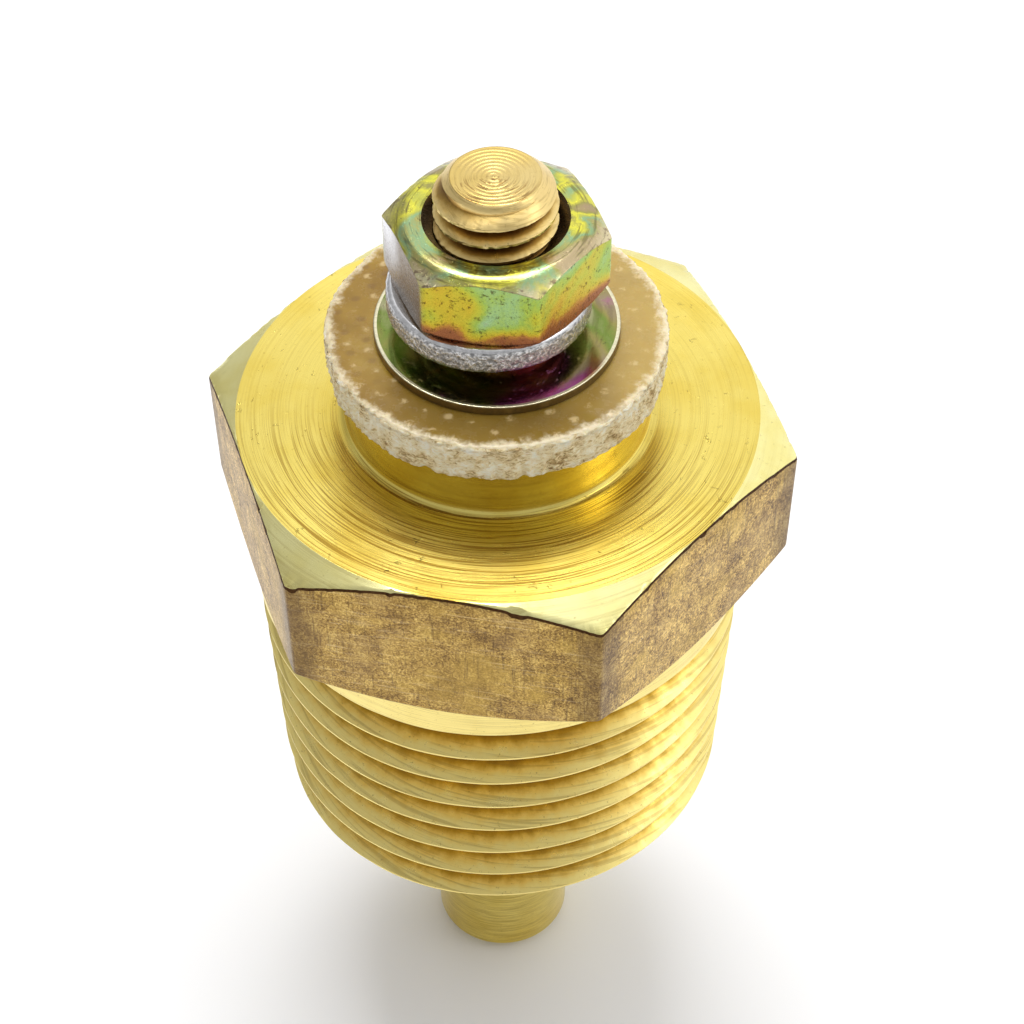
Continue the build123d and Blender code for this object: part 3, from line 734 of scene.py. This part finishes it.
def make_body():
    """Hexagon, boss, threaded shank and the bored inside, as one closed brass shell."""
    top, flat, thread, bright, inside, burr, boss = range(7)
    angles = around(540, crowd=0.5)
    shell = Shell(angles)
    side = hex_radius(angles, hex_flat_r) - 0.01
    edge_x, edge_y = side * np.cos(angles), side * np.sin(angles)
    worn = 0.07 + 0.13 * np.clip(np.cos(angles - math.radians(-80)), 0, 1)
    chips = np.clip(waves(edge_x, edge_y, 0 * side, 0.35, 3, 16) - 0.6, 0, 1.2) * worn
    chips = chips + np.clip(waves(edge_x, edge_y, 0 * side, 0.14, 4, 16) - 0.2, 0, 1.2) * 0.03
    over = np.maximum(side - hex_flat_r, 0)
    face_edge = np.minimum(side, hex_flat_r - 0.03)
    inset = np.maximum(side - 0.1 - chips, face_edge)
    inset_z = hex_h - np.maximum(inset - hex_flat_r, 0) * math.tan(hex_top_bevel)
    top_edge = hex_h - over * math.tan(hex_top_bevel) - chips
    burr_edge = top_edge - 0.13 - chips * 0.5
    low_edge = over * math.tan(hex_low_bevel)
    collar_r = pipe_end_r - shank_end * pipe_taper
    chamfer = 0.9
    thread_low = shank_end + chamfer
    thread_top = -0.05

    def pipe(z, a):
        crest = pipe_end_r + (z - shank_end) * pipe_taper
        cut = thread_radius(z, a, pipe_first, pipe_pitch, crest, pipe_depth, pipe_root_half,
                            last=-pipe_runout)
        crest = np.minimum(crest, pipe_end_r + pipe_taper * chamfer - (thread_low - z))
        wobble = waves(cut * np.cos(a), cut * np.sin(a), z, 1.1, 9) * 0.008
        return np.minimum(crest, cut + np.minimum(wobble, 0))

    shell.outline([
        (lip_r, shank_end, 0, thread),
        (pipe_end_r - chamfer - 0.6, shank_end, 0, thread),
        (pipe(np.full((1, len(angles)), shank_end), angles)[0], shank_end, 0, thread),
    ])
    root = pipe_root_half / pipe_pitch
    crest_at = (pipe_root_half + pipe_depth * FLANK) / pipe_pitch
    half = [0, root, (root * 2 + crest_at) / 3, (root + crest_at * 2) / 3, crest_at - 0.012, crest_at]
    phases = half + [0.5] + [1 - h for h in half[:0:-1]]
    shell.helix(shank_end, thread_top, pipe_first, pipe_pitch, phases, pipe, thread)
    shell.outline([
        (pipe(np.full((1, len(angles)), thread_top), angles)[0], thread_top, 0, thread),
        (collar_r - 0.002, -0.02, 0, flat),
        (hex_flat_r - 0.08, 0.0, 0, flat),
        (side, low_edge, 0.10, flat, 5),
        (side, burr_edge, 0, burr),
        (side - 0.035 - chips * 0.3, top_edge, 0.03, bright),
        (inset, inset_z, 0, bright, 4),
        (face_edge, hex_h, 0.02, top),
        (face_edge - 0.06, hex_h, 0, top),
        (face_edge - 0.12, hex_h, 0, top),
        (boss_r + 3.0, hex_h, 0, top),
        (boss_r, hex_h, 0.38, boss),
        (boss_r, boss_top, 0.16, top),
        (bush_hole_r, boss_top, 0.05, inside),
        (bush_hole_r, roof, 0, inside),
        (roof_bore_r, roof, 0, inside),
        (roof_bore_r, roof_bore_floor, 0, inside),
        (main_bore_r, roof_bore_floor, 0, inside),
        (main_bore_r, rim_bore_top, 0, inside),
        (rim_bore_r, rim_bore_top, 0, inside),
        (rim_bore_r, shank_end + lip_t, 0, inside),
        (lip_r, shank_end + lip_t, 0, inside),
        (lip_r, shank_end, 0, inside),
    ])
    materials = [
        # The turned face is darkened towards the front by painted shade.
        turned_brass("brass_turned_face", tint=(0.82, 0.67, 0.17), marks=13.0, deep=3.0,
                     lined=0.85, nicks=30.0, front_shade=0.5),
        mill_brass(),
        thread_brass("brass_pipe_thread", pipe_taper, pipe_end_r - shank_end * pipe_taper, corner_r,
                     1.15, PIPE_BANDS),
        # The bevel and the rounding of the top edge take a paler tint as a painted highlight.
        turned_brass("brass_bevel_painted_highlight", tint=(0.98, 0.92, 0.44), rough=0.24, marks=5.0, deep=1.0,
                     lined=0.15),
        turned_brass("brass_bore", rough=0.35, marks=5.0, along=5.0),
        # The burr band along the top of the flats is coloured near-black as painted shade of the burr
        # lip.
        plain_metal("brass_burr_painted_shade", (0.10, 0.045, 0.015), 0.6, grain_scale=6.0, deep=20.0),
        turned_brass("brass_boss", tint=(0.94, 0.78, 0.22), rough=0.15, marks=5.0, deep=0.8,
                     along=4.0, lined=0.15),
    ]
    piece = shell.build("switch_body", materials)
    set_piece(piece, "housing", "hex_body")


def make_nose():
    """The inlet plug with its nose."""
    shell = Shell(around(256))
    shoulder = shank_end + lip_t
    neck = plug_top - plug_neck_len
    mid = (shoulder + neck) / 2
    inlet_top = nose_end + inlet_depth
    jet_top = inlet_top + jet_len
    rim_r = lip_r - 0.02
    shell.outline([
        (feed_r, plug_top, 0.1, 0),
        (feed_r, jet_top, 0, 0),
        (jet_r, jet_top, 0, 0),
        (jet_r, inlet_top, 0, 0),
        (inlet_r, inlet_top, 0, 0),
        (inlet_r, nose_end, 0.12, 0),
        (nose_r - nose_bevel, nose_end, 0.08, 0),
        (nose_r, nose_end + nose_bevel, 0.15, 0),
        (nose_r, shank_end, 0.5, 0),
        (rim_r, shank_end, 0.05, 0),
        (rim_r, shoulder, 0, 0),
        (plug_r, shoulder, 0.05, 0),
        (plug_r, mid - ring_groove_half, 0.05, 0),
        (ring_groove_r, mid - ring_groove_half, 0.05, 0),
        (ring_groove_r, mid + ring_groove_half, 0.05, 0),
        (plug_r, mid + ring_groove_half, 0.05, 0),
        (plug_r, neck, 0.05, 0),
        (plug_neck_r, neck, 0.05, 0),
        (plug_neck_r, plug_top, 0.1, 0),
    ], closed=True)
    brass = turned_brass("brass_nose", rough=0.24, marks=7.0, deep=1.0, along=4.0)
    piece = shell.build("inlet_nose", [brass])
    set_piece(piece, "housing", "inlet_plug")


def make_fibre_washer():
    """Punched glass-fibre washer with a torn outer edge."""
    face, edge = range(2)
    shell = Shell(around(640))
    band = 1.2
    shell.outline([
        (bush_hole_r, fibre_low + 0.02, 0.03, face),
        (fibre_r - band, fibre_low + 0.02, 0, face, 2),
        (fibre_r - 0.03, fibre_low + 0.04, 0.16, edge, 12),
        (fibre_r - 0.03, fibre_top - 0.01, 0.22, face, 4),
        (fibre_r - band, fibre_top, 0, face, 6),
        (bush_hole_r, fibre_top, 0.03, face),
    ], closed=True)

    def tear(x, y, z):
        r = np.hypot(x, y)
        near = np.clip((r - (fibre_r - 0.9)) / 0.9, 0, 1) ** 2
        torn = waves(x, y, z * 2.5, 0.26, 5, 16) * 0.045 + waves(x, y, z * 3.0, 0.11, 6, 16) * 0.026
        torn = torn + waves(x, y, z, 1.6, 7) * 0.05
        low = z < (fibre_low + fibre_top) / 2
        bite = np.clip(waves(x, y, 0 * z, 0.5, 11, 16) - 0.5, 0, 1.5) * 0.16 * low
        pull = np.minimum(torn - 0.08, 0) * near - bite * near
        sag = np.minimum(waves(x, y, 0 * z, 0.4, 8, 16) - 0.2, 0) * 0.04 * near
        lift = np.where(low, bite * 0.5 * near, sag)
        scale = 1 + pull / np.maximum(r, 1)
        return x * scale, y * scale, z + lift

    shell.bend(tear)
    piece = shell.build("fibre_washer_laminate", [fibre_laminate(), fibre_laminate(edge=True)])
    set_piece(piece, "housing", "fibre_washer")


def make_flat_washer():
    """Stamped washer: rolled upper rim, sheared lower rim."""
    shift = (flat_shift * math.cos(flat_shift_at), flat_shift * math.sin(flat_shift_at))
    shell = Shell(around(360), shift)
    shell.outline([
        (flat_hole_r, flat_low, 0.04, 0),
        (flat_r - 0.01, flat_low, 0.05, 2),
        (flat_r - 0.01, flat_top, 0.12, 1),
        (flat_r - 0.16, flat_top, 0, 0),
        (flat_r - 0.5, flat_top, 0, 0),
        (flat_hole_r, flat_top, 0.08, 0),
    ], closed=True)
    # The upper rim is a pale copy of the zinc as a painted highlight, and the outer side a dark copy as
    # painted shade.
    rim = plain_metal("zinc_yellow_rim_painted_highlight", (0.92, 0.86, 0.60), 0.22, grain_scale=5.0)
    side = plain_metal("zinc_yellow_side_painted_shade", (0.34, 0.26, 0.12), 0.35, grain_scale=5.0)
    film = chromate("zinc_yellow_washer", WASHER_BANDS, rough=0.16, patch=0.26, deep=1.0, ring=3.0,
                    lines=0.25, stain=(-52, 0.6))
    piece = shell.build("flat_washer_plated", [film, rim, side])
    set_piece(piece, "housing", "flat_washer")


def make_lock_washer():
    """Split spring washer: level against the nut in front, down on the flat washer behind."""
    mid_r = lock_r - lock_w / 2
    corner = 0.26
    outline = []
    arcs = ((1, -1, -90, (0, 1)), (1, 1, 0, (-1, 0)), (-1, 1, 90, (0, -1)), (-1, -1, 180, (1, 0)))
    for cx, cz, start, way in arcs:
        for step in range(6):
            turn = math.radians(start + 90 * step / 5)
            outline.append((
                cx * (lock_w / 2 - corner) + corner * math.cos(turn),
                cz * (lock_t / 2 - corner) + corner * math.sin(turn),
            ))
        length = (lock_t if way[0] == 0 else lock_w) - 2 * corner
        last = outline[-1]
        for step in range(1, 6):
            outline.append((last[0] + way[0] * length * step / 6, last[1] + way[1] * length * step / 6))
    section = np.array(outline)
    steps = 420
    sweep = np.linspace(0, lock_ramp + lock_level, steps + 1)
    drop = np.clip(1 - sweep / lock_ramp, 0, 1)
    level = lock_top - lock_t / 2 - lock_rise * drop
    where = lock_low_end - sweep
    shift_x = lock_shift * math.cos(lock_shift_at)
    shift_y = lock_shift * math.sin(lock_shift_at)
    r = mid_r + section[None, :, 0]
    z = level[:, None] + section[None, :, 1]
    x = r * np.cos(where)[:, None] + shift_x
    y = r * np.sin(where)[:, None] + shift_y
    dent = np.minimum(waves(x, y, z * 1.5, 0.16, 12, 14), 0.3) * 0.012 - 0.004
    rough_side = (section[None, :, 0] > lock_w / 2 - 0.12) * 1.0 + 0.35
    pull = 1 + dent * rough_side / mid_r
    x = shift_x + (x - shift_x) * pull
    y = shift_y + (y - shift_y) * pull
    outer, face = range(2)
    ahead = np.roll(section[:, 0], -1)
    slots = np.where(np.minimum(section[:, 0], ahead) > lock_w / 2 - 0.06, outer, face).tolist()
    materials = [
        plain_metal("zinc_clear_outer", (0.96, 0.95, 0.94), 0.27, grain_scale=7.0, deep=42.0,
                    shaded=0.25),
        plain_metal("zinc_clear_face", (0.90, 0.90, 0.92), 0.14, grain_scale=4.0, deep=5.0),
    ]
    points = np.stack([x, y, z], axis=-1)
    piece = swept("split_washer_plated", points, slots, materials)
    set_piece(piece, "lock_washer", "spring_lock_washer")


def make_nut():
    """M5 nut: bevelled both ends, countersunk, with its real thread inside."""
    film, top, bore = range(3)
    angles = around(480, crowd=0.5) + nut_turn
    shell = Shell(angles)
    side = hex_radius(angles, nut_flat_r, nut_turn, sharpness=110.0) - 0.01
    edge_x, edge_y = side * np.cos(angles), side * np.sin(angles)
    ragged = np.clip(waves(edge_x, edge_y, 0 * side, 0.3, 21, 14), -0.3, 1.0) * 0.02
    low_drop = np.maximum(side - (nut_flat_r - 0.12), 0) * math.tan(nut_bevel)
    brim = side - 0.08
    brim_drop = (brim - nut_crown_r) * math.tan(nut_bevel)
    high_drop = (side - nut_crown_r) * math.tan(nut_bevel) + ragged
    slack = 0.04

    def nut_wall(z, a):
        ridge = m5_pitch / 2 - m5_root_half
        share = np.mod((a - thread_start) / TURN, 1.0)
        turn_at = (z - m5_first) / m5_pitch - share - 0.5
        away = np.abs(turn_at - np.round(turn_at)) * m5_pitch
        reach = (ridge + slack - away) / FLANK + m5_root_r
        wall = np.clip(reach, nut_minor_r, nut_major_r)
        mouth = np.maximum(nut_sink_r - (nut_top - z), nut_major_r - (z - nut_low))
        return np.maximum(wall, mouth)

    phases = [0, 0.1, 0.2, 0.3, 0.4, 0.5, 0.6, 0.7, 0.8, 0.9]
    shell.helix(nut_low, nut_top, m5_first, m5_pitch, phases, nut_wall, bore)
    shell.outline([
        (nut_sink_r, nut_top, 0, top),
        (nut_sink_r + 0.06, nut_top, 0, top),
        (nut_crown_r - 0.02, nut_top, 0.9, top),
        (brim, nut_top - brim_drop, 0, top),
        (side, nut_top - high_drop, 0.05, film),
        (side, nut_low + low_drop + ragged, 0.12, film),
        (nut_flat_r - 0.12, nut_low, 0.05, film),
        (nut_major_r, nut_low, 0, film),
    ])
    edge = (nut_low + 1.25, nut_low + 0.15, 0.55)
    materials = [
        # The flat at 212.5 degrees is bare zinc carrying a painted reflection.
        chromate("chromate_nut_flats", NUT_BANDS, rough=0.24, patch=0.30, spread=(0.08, 0.86),
                 deep=6.0, edge=edge, worn=212.5, pitted=0.575),
        chromate("chromate_nut_top", TOP_BANDS, rough=0.2, patch=0.33, deep=3.0, ring=7.0, lines=0.5,
                 rim=(3.75, 4.4, (0.76, 0.66, 0.42))),
        plain_metal("chromate_nut_thread", (0.16, 0.11, 0.05), 0.3),
    ]
    piece = shell.build("nut_chromated", materials)
    set_piece(piece, "nut", "terminal_nut")


def make_stud():
    """Terminal stud: head, shank, thread with slightly torn crests, ringed tip."""
    thread, tip = range(2)
    angles = around(400)
    shell = Shell(angles)
    head_top = head_low + head_t
    thread_low = m5_first - m5_pitch

    def bolt(z, a):
        crest = np.full_like(z, m5_r - 0.005)
        cut = thread_radius(z, a, m5_first, m5_pitch, crest, m5_r - m5_root_r, m5_root_half)
        cut = np.where(z < m5_first - 0.4, crest, cut)
        torn = np.minimum(waves(cut * np.cos(a), cut * np.sin(a), z * 2, 0.18, 31, 14), 0.2) - 0.2
        near = np.clip((cut - m5_r + 0.12) / 0.12, 0, 1)
        cone = stud_tip_r + (stud_tip - z)
        return np.minimum(cut + torn * near * 0.018, cone)

    ones = np.ones((1, len(angles)))
    shell.outline([
        (0.0, head_low + contact_shank_len, 0, thread),
        (contact_shank_r, head_low + contact_shank_len, 0, thread),
        (contact_shank_r, head_low, 0, thread),
        (head_r - head_bevel, head_low, 0.05, thread),
        (head_r, head_low + head_bevel, 0.05, thread),
        (head_r, head_top, 0.1, thread),
        (m5_r - 0.005, head_top, 0.1, thread),
        (bolt(ones * thread_low, angles)[0], thread_low, 0, thread),
    ])
    root = m5_root_half / m5_pitch
    crest_at = (m5_root_half + (m5_r - m5_root_r) * FLANK) / m5_pitch
    half = [0, root, (root + crest_at) / 2, crest_at - 0.02, crest_at]
    phases = half + [0.5] + [1 - h for h in half[:0:-1]]
    thread_top = stud_tip - 0.02
    face_r = stud_tip_r - 0.03
    face_z = stud_tip - 0.004
    shell.helix(thread_low, thread_top, m5_first, m5_pitch, phases, bolt, thread)
    shell.outline([
        (bolt(ones * thread_top, angles)[0], thread_top, 0, tip),
        (face_r, face_z, 0, tip),
    ])
    radii = np.linspace(face_r, 0.0, 76)[:, None]
    wander = waves(radii * np.cos(angles), radii * np.sin(angles), 0, 1.1, 33) * 0.05
    groove = 0.5 - 0.5 * np.cos(TURN * (radii / tip_feed + 0.5 * np.sin(angles + 0.6) + wander))
    fade = np.clip((face_r - radii) / 0.15, 0, 1) * np.clip(radii / 0.15, 0, 1)
    shell.grid(radii * ones, face_z - 0.011 * groove * fade, tip)
    materials = [
        thread_brass("brass_stud_thread", -1.0, stud_tip_r + stud_tip, m5_r, 0.42, STUD_BANDS,
                     uneven=0.2, deep=0.6),
        turned_brass("brass_stud_tip", tint=(0.76, 0.59, 0.25), dark=(0.30, 0.17, 0.05),
                     rough=0.26, marks=9.0, deep=3.0, aniso=0.2, lined=0.8),
    ]
    piece = shell.build("stud_turned", materials)
    set_piece(piece, "housing", "terminal_stud")


def make_spring():
    """The calibration spring, which in the switch shortens as the plunger lifts; here it is one fixed
    coil.
    """
    low, high, reach = span("calibration_spring")
    wire = spring_wire / 2
    coil_r = reach - wire
    length = spring_turns * TURN
    turn = np.linspace(0, length, 420)[:, None]
    rise = (high - low - spring_wire) / length
    zero = np.zeros_like(turn)
    level = low + wire + rise * turn
    centre = np.stack([coil_r * np.cos(turn), coil_r * np.sin(turn), level], axis=-1)
    out = np.stack([np.cos(turn), np.sin(turn), zero], axis=-1)
    along = np.stack([-coil_r * np.sin(turn), coil_r * np.cos(turn), zero + rise], axis=-1)
    along = along / math.hypot(coil_r, rise)
    up = np.cross(out, along)
    ring_count = 16
    ring = np.linspace(0, TURN, ring_count, endpoint=False)[None, :, None]
    points = centre + wire * (np.cos(ring) * out + np.sin(ring) * up)
    steel = plain_metal("spring_wire", (0.42, 0.42, 0.44), 0.28, grain_scale=10.0)
    piece = swept("calibration_coil", points, [0] * ring_count, [steel])
    set_piece(piece, "housing", "calibration_spring")
    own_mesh(piece)


make_body()
make_nose()
make_fibre_washer()
make_flat_washer()
make_lock_washer()
make_nut()
make_stud()
make_spring()

# -------- inner CAD nodes keep their shape
INNER = {
    "inlet_restrictor": turned_brass("brass_jet", rough=0.25, marks=8.0, along=3.0),
    "inlet_filter_screen": plain_metal("sintered_bronze", (0.52, 0.32, 0.14), 0.5,
                                       grain_scale=5.0, deep=30.0),
    "plug_seal_ring": soft_material("nitrile_ring", (0.02, 0.02, 0.022), 0.5),
    "diaphragm": soft_material("nitrile_diaphragm", (0.03, 0.03, 0.03), 0.6, grain_scale=6.0, deep=8.0),
    "diaphragm_clamp_ring": plain_metal("steel_clamp_ring", (0.55, 0.55, 0.56), 0.3),
    "piston_plate": plain_metal("aluminium_plate", (0.80, 0.81, 0.82), 0.3),
    "plunger": turned_brass("brass_plunger", rough=0.25, marks=7.0, along=4.0),
    "moving_contact": plain_metal("silver_moving", (0.90, 0.88, 0.84), 0.15),
    "fixed_contact": plain_metal("silver_fixed", (0.90, 0.88, 0.84), 0.15),
    "spring_seat": turned_brass("brass_seat", rough=0.3, marks=7.0, along=3.0),
    "calibration_shim": plain_metal("steel_shim", (0.60, 0.60, 0.60), 0.2),
    "insulating_bush": soft_material("resin_bush", (0.30, 0.16, 0.06), 0.45),
    "inner_insulating_washer": soft_material("resin_washer", (0.34, 0.20, 0.08), 0.5),
    "stud_seal_ring": soft_material("nitrile_stud_ring", (0.02, 0.02, 0.022), 0.5),
}
for node, material in INNER.items():
    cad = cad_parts[node]
    for cell in cad.material_slots:
        cell.material = material

# -------- floor, light and camera
floor_z = cad_box[0].z
bpy.ops.mesh.primitive_plane_add(size=4, location=(0, 0, floor_z))
floor = bpy.context.active_object
floor.name = "studio_floor"
paint = Paint("floor_white", Roughness=0.55)
floor_tone = paint.ramp(paint.noise(0.02, detail=2.0), (0.4, (0.94, 0.945, 0.97)),
                        (0.6, (0.96, 0.965, 0.985)))
floor.data.materials.append(paint.finish(Base_Color=floor_tone))


def soft_box(name, place, aim, size, power):
    """A rectangular area light, place and aim in metres."""
    data = bpy.data.lights.new(name, "AREA")
    data.shape = "RECTANGLE"
    data.size, data.size_y = size
    data.energy = power
    light = bpy.data.objects.new(name, data)
    light.location = place
    light.rotation_mode = "QUATERNION"
    light.rotation_quaternion = (Vector(aim) - Vector(place)).to_track_quat("-Z", "Y")
    bpy.context.scene.collection.objects.link(light)


soft_box("key", (-0.043, 0.118, 0.411), (0, 0, 0), (0.20, 0.18), 1.05)
soft_box("kick", (0.305, 0.016, 0.30), (0, 0, 0), (0.15, 0.10), 0.08)


def sky_light():
    """A plain studio surround: bright from behind and from the right, darker overhead and at the left."""
    world = bpy.data.worlds.new("studio")
    bpy.context.scene.world = world
    world.use_nodes = True
    tree = world.node_tree
    where = tree.nodes.new("ShaderNodeTexCoord")
    toward = tree.nodes.new("ShaderNodeVectorMath")
    toward.operation = "DOT_PRODUCT"
    turn, rise = math.radians(52), math.radians(22)
    toward.inputs[1].default_value = (
        math.cos(turn) * math.cos(rise),
        math.sin(turn) * math.cos(rise),
        math.sin(rise),
    )
    tree.links.new(where.outputs["Generated"], toward.inputs[0])
    tone = tree.nodes.new("ShaderNodeMapRange")
    tone.interpolation_type = "SMOOTHSTEP"
    for key, number in (("From Min", 0.1), ("From Max", 0.72), ("To Min", 0.47), ("To Max", 1.06)):
        tone.inputs[key].default_value = number
    tree.links.new(toward.outputs["Value"], tone.inputs["Value"])
    tree.links.new(tone.outputs["Result"], tree.nodes["Background"].inputs["Strength"])
    tree.nodes["Background"].inputs["Color"].default_value = (1, 1, 1, 1)


sky_light()
view_azimuth = math.radians(11.4)
view_elevation = math.radians(47.607)
view_distance = 0.0997
view_roll = math.radians(-0.227)
aim_right = 0.000574
aim_up = 0.00036
aim = Vector((aim_right * math.cos(view_azimuth), aim_right * math.sin(view_azimuth), aim_up))
back = Vector((
    math.sin(view_azimuth) * math.cos(view_elevation),
    -math.cos(view_azimuth) * math.cos(view_elevation),
    math.sin(view_elevation),
))
camera_data = bpy.data.cameras.new("camera")
camera_data.sensor_width = 36
camera_data.lens = 79.46
camera_data.clip_start = 0.004
camera_data.clip_end = 20
camera = bpy.data.objects.new("camera", camera_data)
camera.location = aim + back * view_distance
camera.rotation_mode = "QUATERNION"
camera.rotation_quaternion = (-back).to_track_quat("-Z", "Y") @ Quaternion((0, 0, 1), view_roll)
bpy.context.scene.collection.objects.link(camera)
bpy.context.scene.camera = camera
bpy.context.scene.view_settings.view_transform = "Standard"
